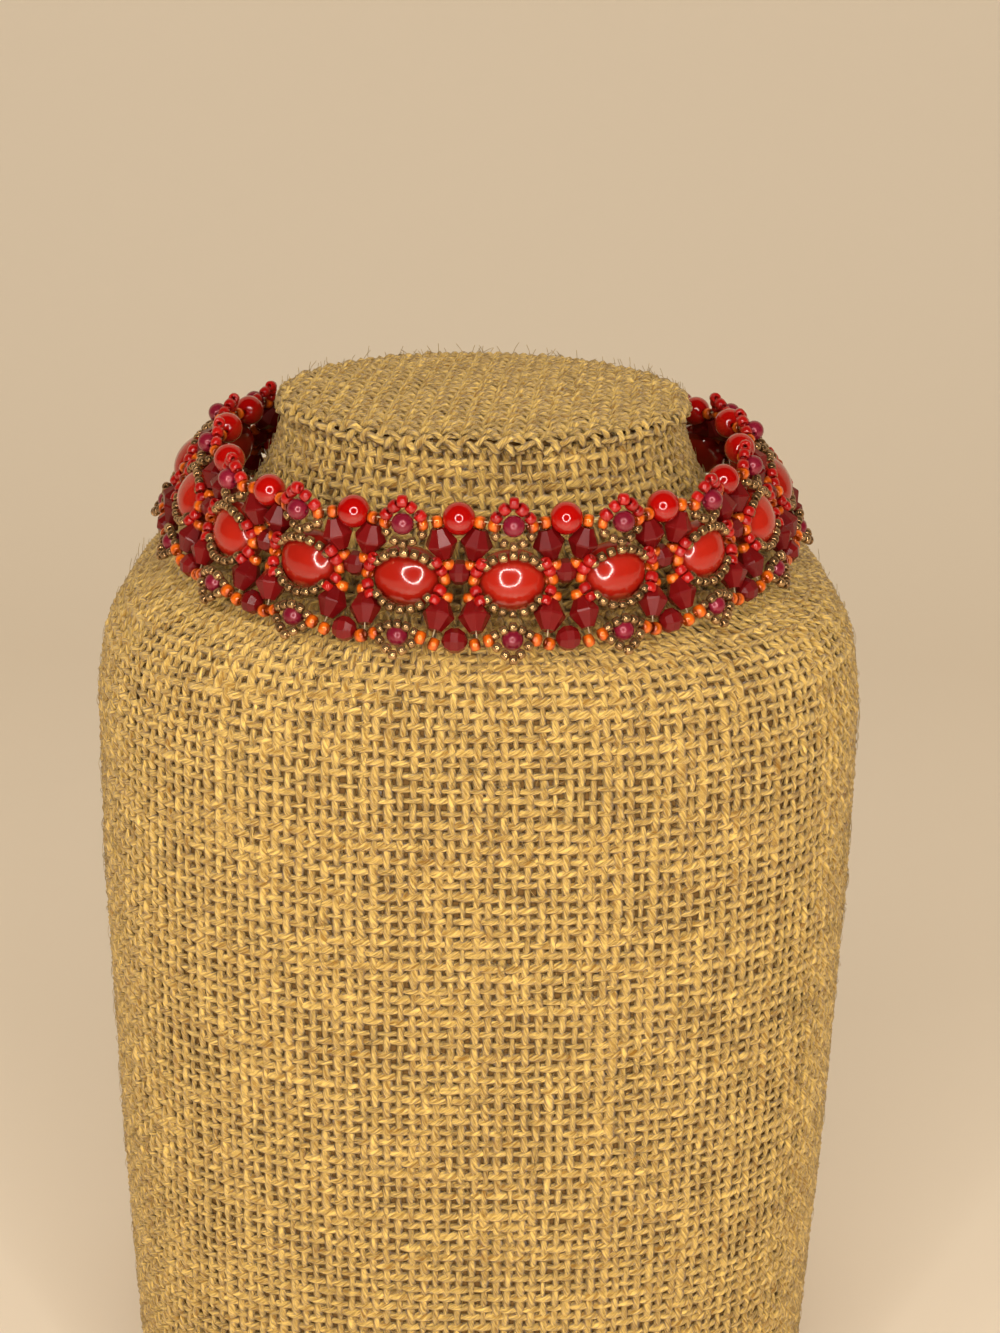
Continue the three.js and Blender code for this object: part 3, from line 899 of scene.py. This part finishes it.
def lay_threads(name, grid, out, wave, closed, pieces):
    """A row of points for each thread, as pieces of cloth with uneven, wandering threads."""
    paths = halfway(grid, closed)
    outs = halfway(out, closed)
    outs /= np.linalg.norm(outs, axis=2, keepdims=True)
    waves = halfway(wave, closed)
    shape = paths.shape[:2]
    drift = smooth_noise(shape, 9) * THREAD_DRIFT
    aside = np.array([0, 0, 1.0]) if closed else np.cross(outs, [0, 0, 1.0])
    paths = paths + outs * waves[..., None] + aside * drift[..., None]
    bulk = 1 + BULK_ALONG * smooth_noise(shape, 5) + BULK_BETWEEN * rng.normal(0, 1, (shape[0], 1))
    half_width = THREAD_HALF_WIDTH * np.clip(bulk, 0.55, 1.5)
    height = THREAD_HEIGHT * np.clip(bulk, 0.7, 1.35)
    tone = 0.5 + TONE_BETWEEN * rng.normal(0, 1, (shape[0], 1)) + TONE_ALONG * smooth_noise(shape, 7)
    tone = np.clip(tone, 0, 1)
    for piece, part in enumerate(np.array_split(np.arange(shape[0]), pieces)):
        thread_object(
            f"{name}_{piece + 1}", paths[part], outs[part], half_width[part], height[part],
            closed, tone[part], jute, "burlap",
        )


def weave_cloth(name, heights, count, inset, pieces):
    """Threads both ways over a stretch of the bust, passing over and under each other."""
    points, normals = surface_grid(heights, count)
    points = points - normals * inset
    wave = over_and_under(len(heights), count) * THREAD_LIFT
    lay_threads(f"{name}_weft", points, normals, wave, True, pieces)
    lay_threads(
        f"{name}_warp", points.transpose(1, 0, 2), normals.transpose(1, 0, 2), -wave.T, False, pieces,
    )


def build_skin(sides=120):
    """The closed form under the bust's threads, whose darker finish is painted shade in the gaps."""
    heights = np.concatenate([[0.0], np.arange(1.0, BUST_TOP, 2.0), [BUST_TOP]])
    points, normals = surface_grid(heights, sides)
    points = points - normals * SKIN_INSET
    low = points[0].mean(axis=0)
    high = points[-1].mean(axis=0)
    obj = closed_ball("bust_form", points.reshape(-1, 3), sides, len(heights), low, high)
    finish_piece(obj, under_cloth_painted_shade, "burlap", "neck_bust")


def build_cloth():
    """The body's cloth, with an even number of upright threads, and the neck's finer one."""
    girth = np.linalg.norm(np.diff(outline(GIRTH_Z, 720), axis=0), axis=1).sum()
    body_warps = int(girth / WEAVE / 2) * 2
    body_levels = level_heights(LOWEST_THREAD, FABRIC_CUT_Z)
    neck_levels = level_heights(FABRIC_CUT_Z - NECK_OVERLAP, CAP_TOP - NECK_CLOTH_DROP)
    weave_cloth("body_cloth", body_levels, body_warps, BODY_INSET, 3)
    weave_cloth("neck_cloth", neck_levels, NECK_WARPS, NECK_INSET, 1)


build_skin()
build_cloth()

# Cap

CAP_A = (cap_high[0] - cap_low[0]) / 2
CAP_B = (cap_high[1] - cap_low[1]) / 2
CAP_Y = (cap_high[1] + cap_low[1]) / 2
CAP_CROWN = 1.2  # how far the top falls from its middle to the rim
CAP_CLOTH_DROP = 0.8  # from the CAD's top to the threads' middle, and to the form under them
CAP_FORM_DROP = 1.2
RIM_INSET = 0.1
CAP_ROLL = 1.6  # radius of the rolled rim
CAP_TUCK = math.radians(140) * CAP_ROLL - CAP_ROLL  # cloth past the rim's reach
MOST_TURN = math.radians(150)  # round the rim
CAP_WEAVE = 2.7  # spacing of its threads
CAP_SLANT = math.radians(40)  # of its threads, from left to right
CAP_LIFT = 0.45  # how far its threads rise and dip, stray and vary
CAP_DRIFT = 0.15
CAP_BULK_ALONG = 0.15
CAP_BULK_BETWEEN = 0.08
CAP_TONE_BETWEEN = 0.18
CAP_FORM_WALL = ((3.8, 2.2), (3.0, 2.0), (2.5, 2.8))  # drops from the top and insets from the rim
CAP_FORM_CROWN = (0.8, 0.5, 0.2)  # shares of the rim
SLOPE_STEP = 0.2  # to each side, to find the cap's slope
CAP_THREAD_HALF_WIDTH = 0.8
CAP_THREAD_HEIGHT = 0.55
FOLD_ANGLE = -1.47  # where the cloth's fold makes the slight point in front
FOLD_SPREAD = 0.09
FOLD_REACH = 0.9


def cap_rim(angle):
    """The rim's reach, with a slight point where the cloth is folded in front."""
    rim = 1 / np.hypot(np.cos(angle) / (CAP_A - RIM_INSET), np.sin(angle) / (CAP_B - RIM_INSET))
    return rim + FOLD_REACH * np.exp(-((angle - FOLD_ANGLE) / FOLD_SPREAD) ** 2)


def cap_point(flat):
    """The cap's surface over points of a flat cloth, which rolls over the rim and tucks in under."""
    angle = np.arctan2(flat[..., 1], flat[..., 0])
    rim = cap_rim(angle)
    reach = np.hypot(flat[..., 0], flat[..., 1])
    start = rim - CAP_ROLL
    turn = np.clip((reach - start) / CAP_ROLL, 0, MOST_TURN)
    radius = np.where(reach > start, start + CAP_ROLL * np.sin(turn), reach)
    crown = CAP_TOP - CAP_CLOTH_DROP - CAP_CROWN * (np.minimum(reach, start) / rim) ** 2
    z = crown - CAP_ROLL * (1 - np.cos(turn))
    return np.stack([radius * np.cos(angle), radius * np.sin(angle) + CAP_Y, z], axis=-1)


def cap_normal(flat, near, way, across):
    """The directions out of the cap, which point up, or away from its middle at the rim."""
    du = cap_point(flat + way * SLOPE_STEP) - cap_point(flat - way * SLOPE_STEP)
    dv = cap_point(flat + across * SLOPE_STEP) - cap_point(flat - across * SLOPE_STEP)
    out = np.cross(du, dv)
    outward = (out[:, :2] * near[:, :2]).sum(axis=1, keepdims=True) * 0.05
    out *= np.sign(out[:, 2:] + outward + 1e-6)
    return out / np.linalg.norm(out, axis=1, keepdims=True)


def cap_thread(way, across, line, shift, samples):
    """One thread's points, directions out, width, height and tone, or nothing where it has no length."""
    s = (np.arange(samples) / 2 - (samples - 1) / 4) * CAP_WEAVE
    flat = way * s[:, None] + across * (line * CAP_WEAVE)
    rim = cap_rim(np.arctan2(flat[:, 1], flat[:, 0]))
    ends = s[np.hypot(flat[:, 0], flat[:, 1]) < rim + CAP_TUCK]
    if len(ends) < 5:
        return None
    fine = np.linspace(ends[0], ends[-1], samples)
    flat = way * fine[:, None] + across * (line * CAP_WEAVE)
    flat = flat + across * (smooth_noise((1, samples), 9)[0] * CAP_DRIFT)[:, None]
    near = cap_point(flat)
    out = cap_normal(flat, near, way, across)
    wave = np.cos(np.pi * (fine / CAP_WEAVE + shift)) * CAP_LIFT
    bulk = 1 + CAP_BULK_ALONG * smooth_noise((1, samples), 5)[0] + CAP_BULK_BETWEEN * rng.normal()
    width = CAP_THREAD_HALF_WIDTH * np.clip(bulk, 0.6, 1.4)
    height = CAP_THREAD_HEIGHT * np.clip(bulk, 0.7, 1.3)
    tone = np.clip(np.full(samples, 0.55 + CAP_TONE_BETWEEN * rng.normal()), 0, 1)
    return near + out * wave[:, None], out, width, height, tone


def cap_cloth():
    """A disc of cloth laid with its threads aslant, folded down over the rim."""
    reach = int((CAP_A + CAP_TUCK) / CAP_WEAVE)
    lines = range(-reach, reach + 1)
    samples = 2 * len(lines) + 1
    first_way = np.array([math.cos(CAP_SLANT), math.sin(CAP_SLANT)])
    second_way = np.array([-first_way[1], first_way[0]])
    for kind, (way, across) in enumerate(((first_way, second_way), (second_way, first_way))):
        laid = [cap_thread(way, across, line, line + kind, samples) for line in lines]
        paths, outs, widths, heights, tones = map(np.array, zip(*(t for t in laid if t is not None)))
        thread_object(
            f"cap_cloth_{kind + 1}", paths, outs, widths, heights, False, tones, jute, "burlap",
        )


def cap_form(sides=96):
    """The closed form under the cap's threads, whose darker finish is painted shade in the gaps."""
    rings = []
    foot = (CAP_TOP - cap_low[2], CAP_FORM_WALL[0][1])
    for drop, inset in (foot, *CAP_FORM_WALL):
        rings.append((CAP_A - inset, CAP_B - inset, CAP_TOP - drop))
    for share in CAP_FORM_CROWN:
        rings.append((CAP_A * share, CAP_B * share, CAP_TOP - CAP_FORM_DROP - CAP_CROWN * share ** 2))
    angle = full_turn(sides)
    cos, sin = np.cos(angle), np.sin(angle)
    points = np.concatenate([
        np.column_stack([a * cos, CAP_Y + b * sin, np.full(sides, z)]) for a, b, z in rings
    ])
    low = (0, CAP_Y, cap_low[2])
    high = (0, CAP_Y, CAP_TOP - CAP_FORM_DROP)
    obj = closed_ball("cap_form", points, sides, len(rings), low, high)
    finish_piece(obj, under_cloth_painted_shade, "burlap", "neck_cap")


cap_form()
cap_cloth()


# Loose fibres that stand off the cloth

CLOTH_FIBRES = 4600
RIM_FIBRES = 300
FIBRE_RADIUS = 0.06
FIBRE_LENGTHS = (2.0, 6.5)
FIBRE_SAMPLES = 5
LOWEST_FIBRE = 4
NECK_FIBRE_DROP = 5  # from the cap's top to the highest fibre on the neck
RIM_FIBRE_DROP = 2
FIBRE_CURL = 0.3
FIBRE_BOW = 2.5 / 4  # the most that a fibre's middle stands off the cloth
BODY_FIBRE_INSET = 0.25  # of its ends inside the CAD's surface
NECK_FIBRE_INSET = 0.5


def cloth_start():
    """A random point on the cloth, the direction round it and the one out of it."""
    z = rng.uniform(LOWEST_FIBRE, CAP_TOP - NECK_FIBRE_DROP)
    ring = outline(z, 360)
    i = rng.integers(0, 360)
    around = ring[(i + 1) % 360] - ring[i]
    around /= np.linalg.norm(around)
    out = np.cross(around, [0, 0, 1.0])
    inset = BODY_FIBRE_INSET if z < FABRIC_CUT_Z else NECK_FIBRE_INSET
    return ring[i] - out * inset, around, out


def rim_start():
    """The same on the cap's rim."""
    angle = rng.uniform(0, 2 * np.pi)
    out = np.array([math.cos(angle) / CAP_A, math.sin(angle) / CAP_B, rng.uniform(0, 0.02)])
    out /= np.linalg.norm(out)
    reach = 0.985 - 0.1 * rng.random() ** 2
    x = CAP_A * math.cos(angle) * reach
    y = CAP_Y + CAP_B * math.sin(angle) * reach
    return np.array([x, y, CAP_TOP - RIM_FIBRE_DROP]), np.cross([0, 0, 1.0], out), out


def fibre_path(start):
    """The points of one fibre that bows off the cloth, and the direction out at each."""
    here, around, out = start
    s = np.linspace(-0.5, 0.5, FIBRE_SAMPLES)[:, None]
    length = rng.uniform(*FIBRE_LENGTHS)
    heading = rng.uniform(0, 2 * np.pi)
    way = around * math.cos(heading) + np.array([0, 0, 1.0]) * math.sin(heading)
    side = np.cross(out, way)
    curl = rng.normal(0, FIBRE_CURL)
    lift = rng.uniform(0.2, 1.0) * (0.25 - s ** 2) * 4 * FIBRE_BOW
    path = here + out * lift + (way * s + side * s ** 2 * curl) * length
    return path, np.repeat(out[None], FIBRE_SAMPLES, axis=0)


def loose_fibres():
    """Fibres all over the cloth, with extra ones on the cap's rim."""
    laid = [fibre_path(cloth_start()) for _ in range(CLOTH_FIBRES)]
    laid += [fibre_path(rim_start()) for _ in range(RIM_FIBRES)]
    paths, outs = map(np.array, zip(*laid))
    thread_object(
        "loose_fibres", paths, outs, FIBRE_RADIUS, FIBRE_RADIUS, False, 0.75, jute, "burlap",
    )


loose_fibres()

# Clasp

def dress_clasp():
    """The clasp keeps its CAD solid and gets its metal."""
    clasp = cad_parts["clasp"]
    clasp.data.materials.clear()
    clasp.data.materials.append(clasp_metal)


dress_clasp()

# Stage

def stage_mesh(name, vertices, faces, colour):
    """A piece of the stage in metres, with its matt shader."""
    mesh = bpy.data.meshes.new(name)
    mesh.from_pydata(vertices, [], faces)
    mesh.polygons.foreach_set("use_smooth", np.full(len(faces), True))
    obj = linked(name, mesh)
    material, _, _, shader = new_material(name)
    set_inputs(shader, {"Base Color": linear(colour), "Roughness": 0.9})
    obj.data.materials.append(material)
    return obj, shader


def backdrop():
    """A pale floor that curves up into a wall."""
    half_width, near, far, bend, height = 4.0, -2.5, 1.1, 0.6, 3.0
    line = [(near, 0.0), (far - bend, 0.0)]
    line += [
        (far - bend + bend * math.sin(a), bend - bend * math.cos(a))
        for a in np.linspace(0, math.pi / 2, 17)[1:]
    ]
    line.append((far, height))
    vertices = [(x, y, z) for y, z in line for x in (-half_width, half_width)]
    faces = [(2 * i, 2 * i + 1, 2 * i + 3, 2 * i + 2) for i in range(len(line) - 1)]
    stage_mesh("backdrop", vertices, faces, BACKDROP_COLOUR)


backdrop()

# Camera, at the photo's angle: its axis is pitched down, and turned a little to the right

CAMERA_PLACE = Vector((0.0, -0.393, CHOKER_Z * MM + 0.113))
CAMERA_PITCH = math.radians(-20.4)
CAMERA_YAW = math.radians(-0.62)
CAMERA_ROLL = math.radians(1.0)
CAMERA_LENS = 54
CAMERA_SENSOR = 36


def build_camera():
    data = bpy.data.cameras.new("camera")
    data.sensor_fit = "AUTO"
    data.sensor_width = CAMERA_SENSOR
    data.lens = CAMERA_LENS
    data.clip_start = 0.01
    obj = linked("camera", data)
    turn = Matrix.Rotation(CAMERA_YAW, 4, "Z") @ Matrix.Rotation(math.pi / 2 + CAMERA_PITCH, 4, "X")
    turn = turn @ Matrix.Rotation(CAMERA_ROLL, 4, "Z")
    obj.matrix_world = Matrix.Translation(CAMERA_PLACE) @ turn
    bpy.context.scene.camera = obj
    return obj


camera = build_camera()


# Lights

LIGHT_COLOUR = (1.0, 0.95, 0.88)
LIGHT_SIZE = 0.6
LIGHT_TARGET = Vector((0, 0, 0.15))


def area_light(name, place_at, power):
    """A soft lamp aimed at the bust, which polished beads don't mirror."""
    data = bpy.data.lights.new(name, "AREA")
    data.shape = "DISK"
    data.size = LIGHT_SIZE
    data.energy = power
    data.color = LIGHT_COLOUR
    obj = linked(name, data)
    obj.location = place_at
    obj.visible_glossy = False
    direction = LIGHT_TARGET - Vector(place_at)
    obj.rotation_euler = direction.to_track_quat("-Z", "Y").to_euler()


def ring_light(radius, width, strength):
    """A bright ring round the camera, which the polished beads mirror."""
    sides = 64
    vertices, faces = [], []
    for angle in full_turn(sides):
        for r in (radius - width / 2, radius + width / 2):
            vertices.append((r * math.cos(angle), r * math.sin(angle), 0))
    for i in range(sides):
        j = (i + 1) % sides
        faces.append((2 * i, 2 * i + 1, 2 * j + 1, 2 * j))
    obj, shader = stage_mesh("ring_light", vertices, faces, (0, 0, 0))
    set_inputs(shader, {"Emission Color": (1.0, 0.94, 0.85, 1.0), "Emission Strength": strength})
    obj.matrix_world = camera.matrix_world @ Matrix.Translation((0, 0, 0.02))
    obj.visible_camera = False


def sky(colour, strength):
    """An even glow from all round, which polished beads don't mirror."""
    world = bpy.data.worlds.new("world")
    bpy.context.scene.world = world
    world.use_nodes = True
    set_inputs(world.node_tree.nodes["Background"], {"Color": linear(colour), "Strength": strength})
    world.cycles_visibility.glossy = False


ring_light(radius=0.17, width=0.016, strength=43)
area_light("left", (-0.9, -0.8, 1.0), 3)
area_light("right", (0.9, -0.7, 0.9), 2.5)
sky(SKY_COLOUR, 0.68)
bpy.context.scene.view_settings.view_transform = "Standard"
